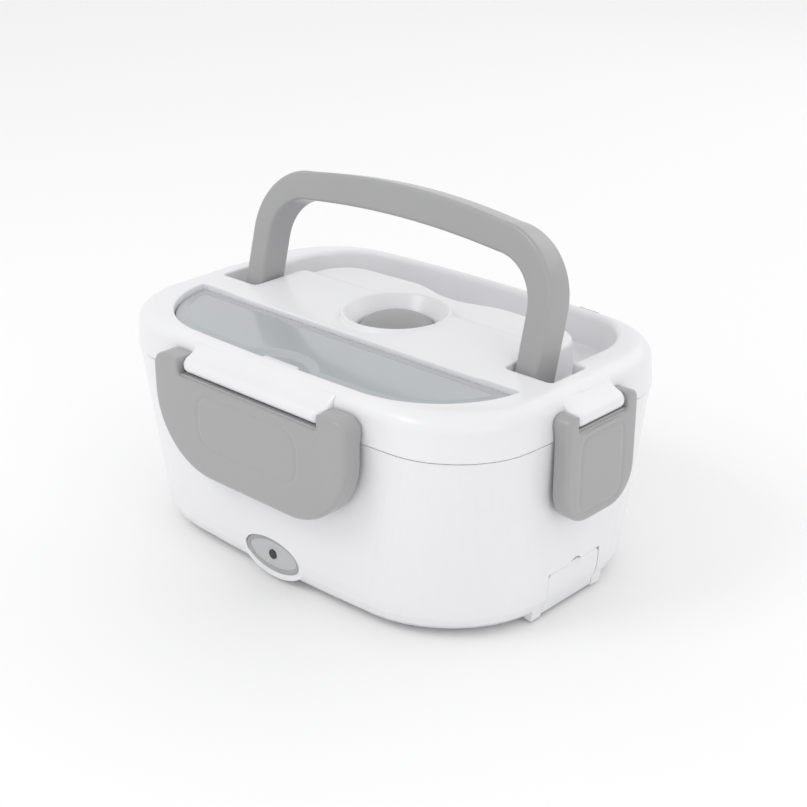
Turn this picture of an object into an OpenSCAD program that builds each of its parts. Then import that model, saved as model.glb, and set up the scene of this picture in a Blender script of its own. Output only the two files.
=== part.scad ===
// Electric lunch box: a lift-off lid held by four swinging latches, a folding handle, a spoon
// compartment with its own cover, a steam vent plug and a heated well with lift-out containers.
// Millimetres, +Z up. The origin is on the table under the middle of the box, the socket door
// faces +X and the side with the lamp and one of the wide latches faces -Y.

/* [Lid] */
// Length of the lid, the longest part of the box itself
lid_l = 238.8; // [230:1:250]
// Width of the lid
lid_w = 164; // [158:1:172]
// Height of the flat rim on top of the lid
lid_top = 109.8; // [108.5:0.5:115]
// Corner radius of the lid, seen from above
corner_r = 36; // [32:1:42]
// How far the long sides curve outward in the middle
side_bow = 6.2; // [4:0.2:7]
// How far the short sides curve outward in the middle
end_bow = 5; // [3:0.2:6]
// Rounding at the top edge of the lid, measured inward
lid_round = 8.2; // [6:0.2:9]
// Wall thickness of the white mouldings
wall = 2.4; // [2:0.1:2.8]

/* [Body] */
// Height of the body's upper edge
body_top = 90.2; // [90:0.1:90.2]
// How much narrower the body is near its foot than the lid, on each side
body_draft = 4; // [3:0.2:5]
// Height where the rounding at the foot begins
foot_round_z = 16.5; // [15:0.5:18]
// How far the rounding at the foot draws in
foot_round = 8.7; // [7:0.2:10]
// Height of the body's lowest edge above the table
body_low = 2.5; // [2.3:0.1:2.8]
// Radius of a rubber foot
rubber_r = 8; // [6:0.5:9]

/* [Heated well] */
// Height of the well's floor above the table
well_floor = 17; // [17:0.1:20]
// Width of the ledge around the well
ledge_w = 13; // [12:0.5:14]
// Sheet thickness of the well
sheet = 1.8; // [1.4:0.1:2]
// Radius of the heating plate where it shows in the well floor
plate_r = 42; // [38:1:46]

/* [Latches] */
// Half width of the two wide latches
wide_half = 62.4; // [58:0.5:66]
// Half width of the two narrow latches
narrow_half = 24.7; // [24:0.1:26]
// Half length of the lid bar between the horns of a wide latch
wide_bar = 45.2; // [42:0.1:48]
// Half length of the lid bar between the horns of a narrow latch
narrow_bar = 17.4; // [16:0.1:18]
// Lowest edge of the wide latches
wide_low = 48.3; // [46:0.5:52]
// Lowest edge of the narrow latches
narrow_low = 51; // [47:0.5:52]
// Height of the axis that a latch swings about
latch_pin_z = 99.5; // [99:0.1:100]
// Distance of that axis from the lid's side
latch_pin_out = 4; // [3.9:0.1:4.4]
// Distance from the axis to the face of a wide latch
wide_face = 5; // [4.8:0.1:5.2]
// Distance from the axis to the face of a narrow latch
narrow_face = 3.6; // [3.5:0.1:4]
// Height of a latch's horns above the axis
horn_rise = 3.5; // [3.3:0.1:3.8]
// Radius of a latch's pegs
peg_r = 1.6; // [1.4:0.1:1.8]

/* [Handle] */
// Distance of the handle's legs from the ends of the lid
handle_side = 25.3; // [25:0.1:26.5]
// Width of a leg, along the pivot
leg_w = 12.1; // [11.5:0.1:12.1]
// Thickness of the handle, across the pivot
handle_t = 15.8; // [14:0.1:15.8]
// Distance of the folded handle from the lid's rear edge
handle_margin = 9.6; // [9.4:0.1:12]
// Height of the handle's pivot
pivot_z = 100; // [99.9:0.1:100.2]
// Backward lean of the handle as it stands
handle_lean = 14.5; // [10:0.5:20]
// Radius of the handle's pivot pegs
pivot_r = 3; // [2.5:0.1:3.4]

/* [Spoon compartment and vent] */
// Distance of the compartment's straight edge from the middle
spoon_back = 26; // [25.5:0.5:28]
// Width of the rim in front of the compartment's curved edge
spoon_rim = 9; // [8.5:0.5:12]
// Thickness of the compartment's cover
cover_t = 1.6; // [1.4:0.1:1.8]
// Outer radius of the vent's lip
vent_r = 26.2; // [25:0.2:27]
// Radius of the vent plug
plug_r = 18.4; // [17:0.2:18.6]
// Distance of the vent from the middle, toward the back
vent_y = 6.3; // [5:0.5:7]

/* [Socket] */
// Width of the socket door
flap_w = 36.6; // [34:0.2:40]
// Height of the socket door's top edge
flap_top = 23.2; // [22.8:0.1:23.6]
// Lean of the socket door, drawn in at the foot
flap_lean = 8; // [4:0.5:9]
// Width of the socket opening
socket_w = 24.2; // [20:0.2:24.4]
// Height of the socket opening
socket_h = 15.2; // [14:0.2:15.4]

/* [Lamp] */
// Width of the oval lamp plate
lamp_w = 36; // [30:1:40]
// Height of the oval lamp plate
lamp_h = 17.6; // [15:0.2:18]
// Height of the middle of the lamp plate
lamp_z = 14.1; // [13.8:0.1:14.4]

/* [Fits] */
// Gap around a turning peg, on the radius
turn_gap = 0.05; // [0.03:0.01:0.08]
// Gap around a part that is pushed or screwed in, on the radius
push_gap = 0.02; // [0.01:0.01:0.03]
// Gap between parts that lift apart
lift_gap = 0.3; // [0.25:0.05:0.35]
// Gap beside a part that swings
swing_gap = 0.4; // [0.3:0.05:0.5]

/* [Hidden] */
$fn = 64;

white = [0.93, 0.93, 0.94];
grey = [0.56, 0.56, 0.57];
smoke = [0.66, 0.70, 0.73, 0.6];
steel = [0.75, 0.75, 0.77];
dark = [0.15, 0.15, 0.16];
eps = 0.1;

// --- Derived sizes of the plan outline -----------------------------------------------------
a0 = lid_l / 2;
b0 = lid_w / 2;
handle_half = a0 - handle_side;
handle_reach = b0 - handle_margin;
spoon_front = b0 - spoon_rim;
corner_steps = 10;
// Body outline just under the lid and just above the foot rounding, half length and half width
body_in = 0.5;
low_a = a0 - body_draft;
low_b = b0 - body_draft + 0.5;
low_r = corner_r + 12.7;

// --- Derived heights -----------------------------------------------------------------------
lid_edge = body_top + lift_gap;
ledge_drop = 9.7;
ledge_z = body_top - ledge_drop;
well_under = well_floor - sheet;
flange_z = 5.3;
flange_t = 2;
cover_z = 3;
lip_top = body_top - lift_gap;
tray_z = ledge_z + lift_gap;
tray_rim = 1.6;
gasket_z = tray_z + tray_rim + lift_gap;
spoon_floor = lid_edge - 0.1;
inner_top = spoon_floor - 2;
inner_z = inner_top - 1.7;
roof_z = lid_top - wall;
deck_z = roof_z - wall;
deck_low = 107.3;
crown_z = lid_top + 1.2;
channel_floor = pivot_z - handle_t / 2 - 0.5;
channel_under = channel_floor - 2;

// --- Plan shapes ---------------------------------------------------------------------------
// Points of an arc from angle t0 to t1
function arc(cx, cy, r, t0, t1, n) =
  [for (i = [0:n]) let(t = t0 + (t1 - t0) * i / n) [cx + r * cos(t), cy + r * sin(t)]];

// Gives a point of a rounded rectangle the outward curve of the box's sides
function bowed(p, a, b) =
  [p[0] - sign(p[0]) * end_bow * pow(p[1] / b, 2), p[1] - sign(p[1]) * side_bow * pow(p[0] / a, 2)];

// Outline of the box: half length a, half width b and corner radius r, counter-clockwise
function outline(a, b, r) =
  let(
    ca = a - r,
    cb = b - r,
    pts = concat(
      arc(ca, cb, r, 0, 90, corner_steps),
      [for (t = [0.6, 0.2, -0.2, -0.6]) [ca * t, b]],
      arc(-ca, cb, r, 90, 180, corner_steps),
      [for (t = [0.35, -0.35]) [-a, cb * t]],
      arc(-ca, -cb, r, 180, 270, corner_steps),
      [for (t = [-0.6, -0.2, 0.2, 0.6]) [ca * t, -b]],
      arc(ca, -cb, r, 270, 360, corner_steps),
      [for (t = [-0.35, 0.35]) [a, cb * t]]
    )
  )
  [for (p = pts) bowed(p, a, b)];

// Outline drawn in by d from the lid's own outline
function inset(d) = outline(a0 - d, b0 - d, corner_r - d * 0.3);

// Flat slab with the box's outline, drawn in by d
module slab(d, z0, z1) {
  translate([0, 0, z0]) linear_extrude(z1 - z0) polygon(inset(d));
}

// Ring with the box's outline between two insets
module band(d0, d1, z0, z1) {
  translate([0, 0, z0]) linear_extrude(z1 - z0) difference() {
    polygon(inset(d0));
    polygon(inset(d1));
  }
}

// Skin over rings of points that all have the same number of points, closed at both ends
module skin(rings) {
  n = len(rings[0]);
  m = len(rings);
  sides = [
    for (k = [0:m - 2]) for (i = [0:n - 1])
      let(j = (i + 1) % n)
      each [[k * n + i, (k + 1) * n + i, (k + 1) * n + j], [k * n + i, (k + 1) * n + j, k * n + j]]
  ];
  low_cap = [[for (i = [0:n - 1]) i]];
  high_cap = [[for (i = [0:n - 1]) m * n - 1 - i]];
  polyhedron([for (r = rings) each r], concat(low_cap, sides, high_cap));
}

// Ring of the outline at a height
function ring(a, b, r, z) = [for (p = outline(a, b, r)) [p[0], p[1], z]];

// Curved-down edge of the spoon compartment: two wide arcs joined by a nearly straight front
spoon_r = 51;
spoon_end = 16.9;
spoon_cx = a0 - spoon_end - spoon_r;
spoon_cy = spoon_r + 1 - spoon_front;
function spoon_arc(g) =
  let(end = asin((spoon_back * -1 + g - spoon_cy) / (spoon_r + g)))
  arc(spoon_cx, spoon_cy, spoon_r + g, -90, end, 12);
function spoon_plan(g) =
  concat(
    [for (p = spoon_arc(g)) p],
    [for (i = [12:-1:0]) [-spoon_arc(g)[i][0], spoon_arc(g)[i][1]]],
    [for (t = [-0.6, -0.2, 0.2, 0.6]) [spoon_cx * t, -spoon_front - g + pow(t, 2)]]
  );

// Outer edge of the handle's channel, and the wells for the legs
slot_front = handle_t / 2 + 2.6;
slot_back = handle_t / 2 + 6.1;
slot_half = handle_half + 11.9;
channel_half = handle_half + 3.7;
channel_r = 36;
channel_reach = handle_reach + 0.9;
module channel_plan(g) {
  cx = channel_half - channel_r;
  cy = channel_reach - 1.3 - channel_r;
  right = arc(cx, cy, channel_r + g, 0, 90, 8);
  left = arc(-cx, cy, channel_r + g, 90, 180, 8);
  arch = [for (t = [0.5, 0, -0.5]) [cx * t, channel_reach + g - 1.3 * t * t]];
  polygon(concat([[channel_half + g, 0]], right, arch, left, [[-channel_half - g, 0]]));
  translate([-slot_half - g, -slot_front - g])
    square([2 * slot_half + 2 * g, slot_front + slot_back + 2 * g]);
}

// The raised deck between the legs, with the finger scoop in its rear edge
deck_half = handle_half - leg_w - 1.7;
deck_r = 20.3;
deck_reach = handle_reach - 18.8;
scoop_half = 31;
scoop_deep = 6.3;
module deck_plan(g) {
  cx = deck_half - deck_r;
  cy = deck_reach - 1.3 - deck_r;
  right = arc(cx, cy, deck_r + g, 0, 90, 6);
  left = arc(-cx, cy, deck_r + g, 90, 180, 6);
  scoop = [
    for (i = [0:10])
      let(x = scoop_half * (1 - i / 5))
      [x, deck_reach + g - scoop_deep * (1 + cos(180 * x / scoop_half)) / 2]
  ];
  polygon(concat(
    [[deck_half + g, -spoon_back - g]], right, scoop, left, [[-deck_half - g, -spoon_back - g]]
  ));
}

// Height of the deck across its width: crowned over the vent, then lower toward the back
function crown(y) = lid_top - 0.8 + 2 * (1 - pow((y - vent_y) / (spoon_back + vent_y), 2));
shelf_y = vent_y + 22;
module deck_profile() {
  front = [for (i = [0:8]) let(y = -spoon_back + (vent_y + 16 + spoon_back) * i / 8) [y, crown(y)]];
  polygon(concat(
    [[-spoon_back, deck_z]], front, [[shelf_y, deck_low + 0.2], [deck_reach + 1, deck_low - 0.2]],
    [[deck_reach + 1, deck_z]]
  ));
}

// --- Body ------------------------------------------------------------------------------------
function shell_ring(a_add, b_add, z) =
  let(t = (z - foot_round_z) / (body_top - foot_round_z))
  ring(
    low_a + (a0 - body_in - low_a) * t + a_add, low_b + (b0 - body_in - low_b) * t + b_add,
    low_r + (corner_r - low_r) * t, z
  );
function foot_ring(t, in) =
  let(off = foot_round * (1 - sin(t)) + in)
  ring(
    low_a - off, low_b - off, low_r - 0.6 * off,
    foot_round_z - (foot_round_z - body_low) * cos(t)
  );
foot_flange_angle = acos((foot_round_z - flange_z - flange_t) / (foot_round_z - body_low));

// Places something for each of the four latches, turned so that the latch faces -Y
sides = [["front", 0], ["right", 90], ["back", 180], ["left", 270]];
function side_out(k) = (k % 2 == 0 ? b0 : a0) + latch_pin_out;
function side_bar(k) = k % 2 == 0 ? wide_bar : narrow_bar;
function side_half(k) = k % 2 == 0 ? wide_half : narrow_half;
function side_low(k) = k % 2 == 0 ? wide_low : narrow_low;
function side_face(k) = k % 2 == 0 ? wide_face : narrow_face;

catch_z = latch_pin_z - 39;
catch_gap = 0.2;
catch_out = 3;
function catch_half(k) = side_bar(k) * 0.46;
module catch_rib(k) {
  half = catch_half(k);
  v = -side_out(k) + catch_out;
  rotate([0, 0, sides[k][1]]) translate([-half, 0, 0]) rotate([90, 0, 90])
    linear_extrude(2 * half)
      polygon([[v, catch_z], [v, catch_z + 1.2], [v + 4, catch_z + 6], [v + 4, catch_z - 0.5]]);
}

block_half = 25.3;
block_x = a0 - 5;
block_in = block_x - 11.6;
block_low = 0.9;
recess_x = block_x - 3.5;
inlet_x = recess_x - 2.9;
inlet_flange = 2;
socket_z = 13.2;
inlet_wall = 1.2;
inlet_back = inlet_x - 9.2;
inlet_y = socket_w / 2 + inlet_wall;
inlet_z = socket_h / 2 + inlet_wall;
flap_pin_x = block_x - 1.4;
flap_pin_z = 2.6;
flap_pin_r = 1;
knuckle_r = 1.4;
flap_t = 2;
notch_r = 5.6;

cover_in = 21;
opening_in = 35;
screw_x = 60;
screw_y = 54.5;
screw_r = 1.5;
screw_head = 3;
boss_r = 4;
boss_top = well_under - 1.7;
foot_x = 74;
foot_y = 38;
foot_seat = 0.8;

lamp_y = b0 - 4.6;
lamp_rim = 3;
lamp_t = 2;
lamp_seat = lamp_y - lamp_t;
led_r = 2.4;
board_y = lamp_seat - 4.4;

module oval(w, h, y0, y1) {
  rotate([90, 0, 0]) translate([0, 0, -y1]) linear_extrude(y1 - y0)
    polygon([for (t = [0:6:354]) [w / 2 * cos(t), h / 2 * sin(t)]]);
}

// Leans the socket's door and the block around it, drawn in at the foot
module leaning() {
  translate([block_x, 0, flap_top]) rotate([0, flap_lean, 0]) translate([-block_x, 0, -flap_top])
    children();
}

module four(x, y) {
  for (sx = [-1, 1]) for (sy = [-1, 1]) translate([sx * x, sy * y, 0]) children();
}

module outer_shell() {
  color(white) difference() {
    union() {
      difference() {
        union() {
          skin(concat([for (t = [0, 22, 45, 67]) foot_ring(t, 0)], [
            shell_ring(0, 0, foot_round_z), shell_ring(0, 0, body_top)
          ]));
          leaning() translate([block_in, -block_half, block_low])
            cube([block_x - block_in, 2 * block_half, flap_top + 2 - block_low]);
        }
        // Hollow, with the rib that carries the well
        skin([
          foot_ring(foot_flange_angle, wall + 0.6),
          shell_ring(-wall, -wall, foot_round_z),
          shell_ring(-wall, -wall, ledge_z - sheet - 4.5),
          shell_ring(-wall - 2.4, -wall - 2.4, ledge_z - sheet - 1.5),
          shell_ring(-wall - 2.4, -wall - 2.4, ledge_z - sheet + eps)
        ]);
        slab(body_in + wall, ledge_z - sheet, body_top + 1);
        slab(opening_in, 0, flange_z + flange_t + eps);
        slab(cover_in, 0, flange_z);
      }
      for (k = [0:3]) catch_rib(k);
      four(screw_x, screw_y) translate([0, 0, flange_z]) cylinder(r = boss_r, h = boss_top - flange_z);
      // Pad behind the lamp plate, and its two posts
      translate([0, 0, lamp_z])
        oval(lamp_w + 2 * lamp_rim, lamp_h + 2 * lamp_rim, -lamp_y + 0.4, -lamp_seat + 1.5);
      for (s = [-1, 1]) translate([s * 8, -lamp_seat, lamp_z]) rotate([-90, 0, 0])
        cylinder(r = 1.5, h = lamp_seat - board_y);
      leaning() translate([block_in, -block_half, block_low])
        cube([recess_x - block_in, 2 * block_half, flap_top + 2 - block_low]);
    }
    four(screw_x, screw_y) translate([0, 0, 0]) cylinder(r = screw_r + push_gap, h = boss_top + 1);
    // Lamp plate seat and lamp hole
    translate([0, 0, lamp_z]) oval(lamp_w + 0.2, lamp_h + 0.2, -b0 - 5, -lamp_seat);
    translate([0, -b0, lamp_z]) rotate([-90, 0, 0]) cylinder(r = led_r + push_gap, h = 20);
    // Socket hole, the seat of its flange and the recess of the door
    translate([inlet_back - 1, -inlet_y, socket_z - inlet_z])
      cube([20, 2 * inlet_y, 2 * inlet_z]);
    translate([inlet_x - inlet_flange, -inlet_y - 2.5, socket_z - inlet_z - 0.7])
      cube([20, 2 * inlet_y + 5, 2 * inlet_z + 1.4]);
    leaning() {
      translate([recess_x, -flap_w / 2 - 0.3, -5]) cube([20, flap_w + 0.6, flap_top + 5.3]);
      translate([recess_x, 0, flap_top - notch_r + 2.4]) rotate([0, 90, 0])
        cylinder(r = notch_r, h = 20);
      translate([flap_pin_x, -block_half + 3, flap_pin_z]) rotate([-90, 0, 0])
        cylinder(r = flap_pin_r + push_gap, h = 2 * block_half - 6);
    }
  }
}

// --- Heated well -----------------------------------------------------------------------------
lip_in = body_in + wall + push_gap + 0.1;
well_in = lip_in + sheet + ledge_w;
well_draft = 5.5;
function well_ring(d, z) = ring(a0 - d, b0 - d, corner_r - d * 0.3, z);
module inner_liner() {
  color(white) difference() {
    union() {
      band(lip_in, lip_in + sheet, ledge_z - sheet, lip_top);
      slab(lip_in, ledge_z - sheet, ledge_z);
      skin([well_ring(well_in + well_draft - sheet, well_under), well_ring(well_in - sheet, ledge_z)]);
      for (s = [-1, 1]) translate([s * clamp_x, 0, clamp_top])
        cylinder(r = boss_r + 0.5, h = well_under - clamp_top + 1);
    }
    skin([well_ring(well_in + well_draft, well_floor), well_ring(well_in, ledge_z + eps)]);
    translate([0, 0, well_under - 1]) cylinder(r = plate_r + push_gap, h = 10, $fn = 128);
    for (s = [-1, 1]) translate([s * clamp_x, 0, clamp_top - 1])
      cylinder(r = screw_r + push_gap, h = screw_l);
  }
}

plate_t = 1.6;
plate_rise = 0.6;
ptc_w = 24;
ptc_l = 30;
ptc_x = 15;
plate_low = well_under - plate_t;
ptc_t = 2.5;
clamp_top = plate_low - ptc_t;
clamp_t = 1;
clamp_x = plate_r + 10;
clamp_w = 16;
screw_l = 5.2;

module heating_plate() {
  color(steel) {
    translate([0, 0, plate_low]) cylinder(r = plate_r + 3, h = plate_t, $fn = 128);
    translate([0, 0, plate_low + plate_t - eps])
      cylinder(r = plate_r, h = well_floor + plate_rise - well_under + eps, $fn = 128);
  }
}

module ptc_heaters() {
  color("dimgray") for (s = [-1, 1]) translate([s * ptc_x - ptc_w / 2, -ptc_l / 2, clamp_top])
    cube([ptc_w, ptc_l, ptc_t]);
}

module heater_clamp() {
  color(steel) translate([0, 0, clamp_top - clamp_t]) difference() {
    linear_extrude(clamp_t) {
      square([2 * clamp_x, clamp_w], center = true);
      for (s = [-1, 1]) translate([s * clamp_x, 0]) circle(clamp_w / 2);
    }
    for (s = [-1, 1]) translate([s * clamp_x, 0, -1]) cylinder(r = screw_r + push_gap, h = 3);
  }
}

// Pan-head screw that points up from z = 0 at the underside of its head's seat
module screw(length, head_h) {
  difference() {
    union() {
      cylinder(r = screw_r, h = length);
      translate([0, 0, -head_h]) cylinder(r = screw_head, h = head_h);
    }
    for (t = [0, 90]) rotate([0, 0, t]) translate([-1.8, -0.4, -head_h - 1]) cube([3.6, 0.8, 1.6]);
  }
}

module clamp_screws() {
  color(dark) for (s = [-1, 1]) translate([s * clamp_x, 0, clamp_top - clamp_t]) screw(4.5, 1.5);
}

sensor_y = 30;
sensor_r = 8;
flange_r = 10;
module thermostat() {
  color(dark) {
    translate([0, sensor_y, plate_low - 0.8]) cylinder(r = flange_r, h = 0.8);
    translate([0, sensor_y, plate_low - 5.2]) cylinder(r = sensor_r, h = 4.6);
    for (s = [-1, 1]) translate([s * flange_r - 3, sensor_y - 3.1, plate_low - 4.6])
      cube([6, 6.2, 0.8]);
  }
}

fuse_r = 2.1;
module thermal_fuse() {
  color("white") translate([-6, -sensor_y, plate_low - fuse_r]) rotate([0, 90, 0])
    cylinder(r = fuse_r, h = 12);
  color(steel) translate([-10, -sensor_y, plate_low - fuse_r]) rotate([0, 90, 0])
    cylinder(r = 0.5, h = 20);
}

// Round lead through a list of points
wire_r = 1.1;
function unit(v) = v / norm(v);
module lead(points) {
  n = len(points);
  skin([
    for (i = [0:n - 1])
      let(
        before = points[max(i, 1)] - points[max(i, 1) - 1],
        after = points[min(i, n - 2) + 1] - points[min(i, n - 2)],
        along = unit(unit(before) + unit(after)),
        side = unit(cross(along, [0, 0, 1])),
        up = cross(along, side)
      )
      [for (t = [0:45:315]) points[i] + wire_r * (cos(t) * side + sin(t) * up)]
  ]);
}

pin_y = 7;
pin_z = socket_z - 3;
tail_x = inlet_back - 3;
module wire_leads() {
  t_z = plate_low - 4.2;
  f_z = plate_low - fuse_r;
  p_z = clamp_top + 1.25;
  color("firebrick") {
    lead([[tail_x, pin_y, pin_z], [70, 30, t_z], [13, sensor_y, t_z]]);
    lead([[-13, sensor_y, t_z], [-32, 24, t_z], [-34, 11, p_z], [-27, 9, p_z]]);
  }
  color("gainsboro") {
    lead([[tail_x, -pin_y, pin_z], [70, -30, pin_z], [20, -34, f_z], [10, -sensor_y, f_z]]);
    lead([[-10, -sensor_y, f_z], [-32, -24, f_z], [-34, -11, p_z], [-27, -9, p_z]]);
    lead([[0, -board_y + 1.6, lamp_z - 1.8], [0, -60, pin_z], [40, -48, pin_z], [70, -30, pin_z]]);
  }
}

module bottom_cover() {
  color(white) difference() {
    slab(cover_in + 0.2, cover_z, flange_z);
    four(foot_x, foot_y) translate([0, 0, cover_z - 1]) cylinder(r = rubber_r + push_gap, h = 1 + foot_seat);
    four(screw_x, screw_y) {
      translate([0, 0, cover_z - 1]) cylinder(r = screw_head + 0.3, h = 2.4);
      cylinder(r = screw_r + turn_gap, h = 10);
    }
  }
}

module bottom_screws() {
  color(dark) four(screw_x, screw_y) translate([0, 0, cover_z + 1.4]) screw(8, 1.2);
}

module rubber_feet() {
  color(dark) four(foot_x, foot_y) rotate_extrude()
    polygon([
      [0, 0], [rubber_r - 1.2, 0], [rubber_r - 0.4, 0.5], [rubber_r, 1.6],
      [rubber_r, cover_z + foot_seat], [0, cover_z + foot_seat]
    ]);
}

// --- Socket ----------------------------------------------------------------------------------
module pin_blades(gap) {
  for (p = [[pin_y, pin_z], [-pin_y, pin_z]])
    translate([tail_x, p[0] - 1 - gap, p[1] - 2 - gap])
      cube([inlet_x - 2.5 - tail_x, 2 + 2 * gap, 4 + 2 * gap]);
  translate([inlet_back, -1 - gap, socket_z + 1.5 - gap])
    cube([inlet_x - 1.5 - inlet_back, 2 + 2 * gap, 4 + 2 * gap]);
}

module power_inlet() {
  color(dark) difference() {
    union() {
      translate([inlet_back, -inlet_y, socket_z - inlet_z])
        cube([inlet_x - inlet_back, 2 * inlet_y, 2 * inlet_z]);
      translate([inlet_x - inlet_flange, -inlet_y - 2.4, socket_z - inlet_z - 0.6])
        cube([inlet_flange, 2 * inlet_y + 4.8, 2 * inlet_z + 1.2]);
    }
    // Socket opening with its two lower corners cut off
    translate([inlet_back + 1.6, 0, socket_z]) rotate([90, 0, 90]) linear_extrude(20) polygon([
      [-socket_w / 2 + 4, -socket_h / 2], [socket_w / 2 - 4, -socket_h / 2],
      [socket_w / 2, -socket_h / 2 + 4], [socket_w / 2, socket_h / 2],
      [-socket_w / 2, socket_h / 2], [-socket_w / 2, -socket_h / 2 + 4]
    ]);
    pin_blades(0);
  }
}

module inlet_pins() {
  color(steel) pin_blades(0);
}

module flap_pin() {
  color(steel) leaning() translate([flap_pin_x, -block_half + 3.5, flap_pin_z])
    rotate([-90, 0, 0]) cylinder(r = flap_pin_r, h = 2 * block_half - 7);
}

module socket_flap() {
  r = 3;
  color(white) leaning() difference() {
    union() {
      translate([block_x - flap_t, 0, 0]) rotate([90, 0, 90]) linear_extrude(flap_t) {
        translate([-flap_w / 2, flap_pin_z]) square([flap_w, flap_top - r - flap_pin_z]);
        translate([-flap_w / 2 + r, flap_pin_z]) square([flap_w - 2 * r, flap_top - flap_pin_z]);
        for (s = [-1, 1]) translate([s * (flap_w / 2 - r), flap_top - r]) circle(r);
      }
      translate([flap_pin_x, -flap_w / 2, flap_pin_z]) rotate([-90, 0, 0])
        cylinder(r = knuckle_r, h = flap_w);
    }
    translate([flap_pin_x, -flap_w, flap_pin_z]) rotate([-90, 0, 0])
      cylinder(r = flap_pin_r + turn_gap, h = 2 * flap_w);
  }
}

// --- Lamp ------------------------------------------------------------------------------------
module lamp_bezel() {
  color(grey) difference() {
    translate([0, 0, lamp_z]) oval(lamp_w, lamp_h, -lamp_y, -lamp_seat);
    translate([0, -b0, lamp_z]) rotate([-90, 0, 0]) cylinder(r = led_r + push_gap, h = 20);
  }
}

module lamp_lens() {
  color(dark) translate([0, -lamp_y - 0.3, lamp_z]) rotate([-90, 0, 0])
    cylinder(r = led_r, h = lamp_y + 0.3 - board_y);
}

module lamp_board() {
  color("darkgreen") translate([-11, -board_y, lamp_z - 5]) cube([22, 1.6, 10]);
}

// --- Containers ------------------------------------------------------------------------------
tray_in = well_in + 1.2;
tray_floor = well_floor + plate_rise + lift_gap;
tray_wall = 1.6;
divider_x = 22;
module main_tray() {
  color([0.9, 0.9, 0.9]) difference() {
    union() {
      slab(well_in - 5.5, tray_z, tray_z + tray_rim);
      skin([well_ring(tray_in + well_draft, tray_floor), well_ring(tray_in, tray_z + eps)]);
    }
    skin([
      well_ring(tray_in + tray_wall + well_draft, tray_floor + tray_wall),
      well_ring(tray_in + tray_wall, tray_z + tray_rim + eps)
    ]);
  }
}

box_in = tray_in + tray_wall + well_draft + 1;
box_r = 16;
box_floor = tray_floor + tray_wall + lift_gap;
box_top = tray_z - 8;
box_wall = 1.5;
box_bead = 1.5;
lid_t = 1.6;
// The small container fills one end of the tray: its plan, drawn in by d
module box_plan(d) {
  half = b0 - box_in - 1.5 - d;
  intersection() {
    polygon(inset(box_in + d));
    union() {
      translate([divider_x + box_r, -half]) square([a0, 2 * half]);
      translate([divider_x + d, -half + box_r - d]) square([a0, 2 * (half - box_r + d)]);
      for (s = [-1, 1]) translate([divider_x + box_r, s * (half - box_r + d)]) circle(box_r - d);
    }
  }
}

module small_box() {
  color([0.92, 0.92, 0.92]) difference() {
    union() {
      translate([0, 0, box_floor]) linear_extrude(box_top - box_floor) box_plan(lid_t + lift_gap);
      translate([0, 0, box_top - 2 * box_bead]) linear_extrude(box_bead) box_plan(0.5);
    }
    translate([0, 0, box_floor + box_wall]) linear_extrude(100)
      box_plan(lid_t + lift_gap + box_wall);
  }
}

module small_box_lid() {
  color([0.7, 0.75, 0.78]) difference() {
    translate([0, 0, box_top - box_bead + lift_gap]) linear_extrude(box_bead + lid_t) box_plan(0);
    translate([0, 0, box_top - box_bead]) linear_extrude(box_bead + lift_gap) box_plan(lid_t);
  }
}

// --- Lid -------------------------------------------------------------------------------------
module lid_gasket() {
  color("whitesmoke") band(well_in - 7.5, well_in - 2, gasket_z, inner_z);
}

module lid_inner() {
  color(white) difference() {
    slab(lip_in + sheet + 4, inner_z, inner_top);
    translate([0, vent_y, 0]) cylinder(r = stem_r + turn_gap, h = 200);
  }
}

fillet_low = lid_top - 7.3;
function lid_ring(d, z) = ring(a0 - d, b0 - d, corner_r - d * 0.3, z);
lid_in = 0.8;
function lid_fillet(d) = [
  for (t = [0, 18, 36, 54, 72, 90])
    lid_ring(lid_in + d + (lid_round - lid_in) * (1 - cos(t)), fillet_low + (lid_top - fillet_low) * sin(t))
];
module lid_solid() {
  skin(concat([lid_ring(0, lid_edge)], lid_fillet(0)));
}
module lid_hollow() {
  skin([
    lid_ring(wall, lid_edge - 1), lid_ring(wall + lid_in, fillet_low),
    lid_ring(wall + lid_round - 2, roof_z)
  ]);
}

// Bar along the lid's side that a latch hangs on
bar_r = 3.3;
end_r = 2;
module latch_bar(k) {
  half = side_bar(k) - lift_gap;
  v = -side_out(k);
  rotate([0, 0, sides[k][1]]) intersection() {
    union() {
      translate([-half, v, latch_pin_z]) rotate([0, 90, 0]) cylinder(r = bar_r, h = 2 * half);
      translate([-half, 0, 0]) rotate([90, 0, 90]) linear_extrude(2 * half) polygon([
        [v, latch_pin_z - bar_r], [v + 6.2, latch_pin_z - bar_r], [v + 7, lid_top - 4.5],
        [v + 4.4, lid_top - 5.4], [v + 1, latch_pin_z + bar_r]
      ]);
    }
    // Rounded ends, seen from above
    translate([0, 0, latch_pin_z - 20]) linear_extrude(40) {
      translate([-half, v - bar_r + end_r]) square([2 * half, 12]);
      translate([-half + end_r, v - bar_r - 1]) square([2 * (half - end_r), 12]);
      for (s = [-1, 1]) translate([s * (half - end_r), v - bar_r + end_r]) circle(end_r);
    }
  }
}

module latch_bar_cuts(k) {
  half = side_bar(k);
  v = -side_out(k);
  rotate([0, 0, sides[k][1]]) for (s = [-1, 1]) {
    translate([s * (half - 2) - 3, v, latch_pin_z]) rotate([0, 90, 0])
      cylinder(r = peg_r + turn_gap, h = 6);
    translate([s * (half + side_half(k)) / 2, v, latch_pin_z]) rotate([0, 90, 0])
      cylinder(r = wide_face + swing_gap, h = side_half(k) - half + 2 * lift_gap, center = true);
  }
}

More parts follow.
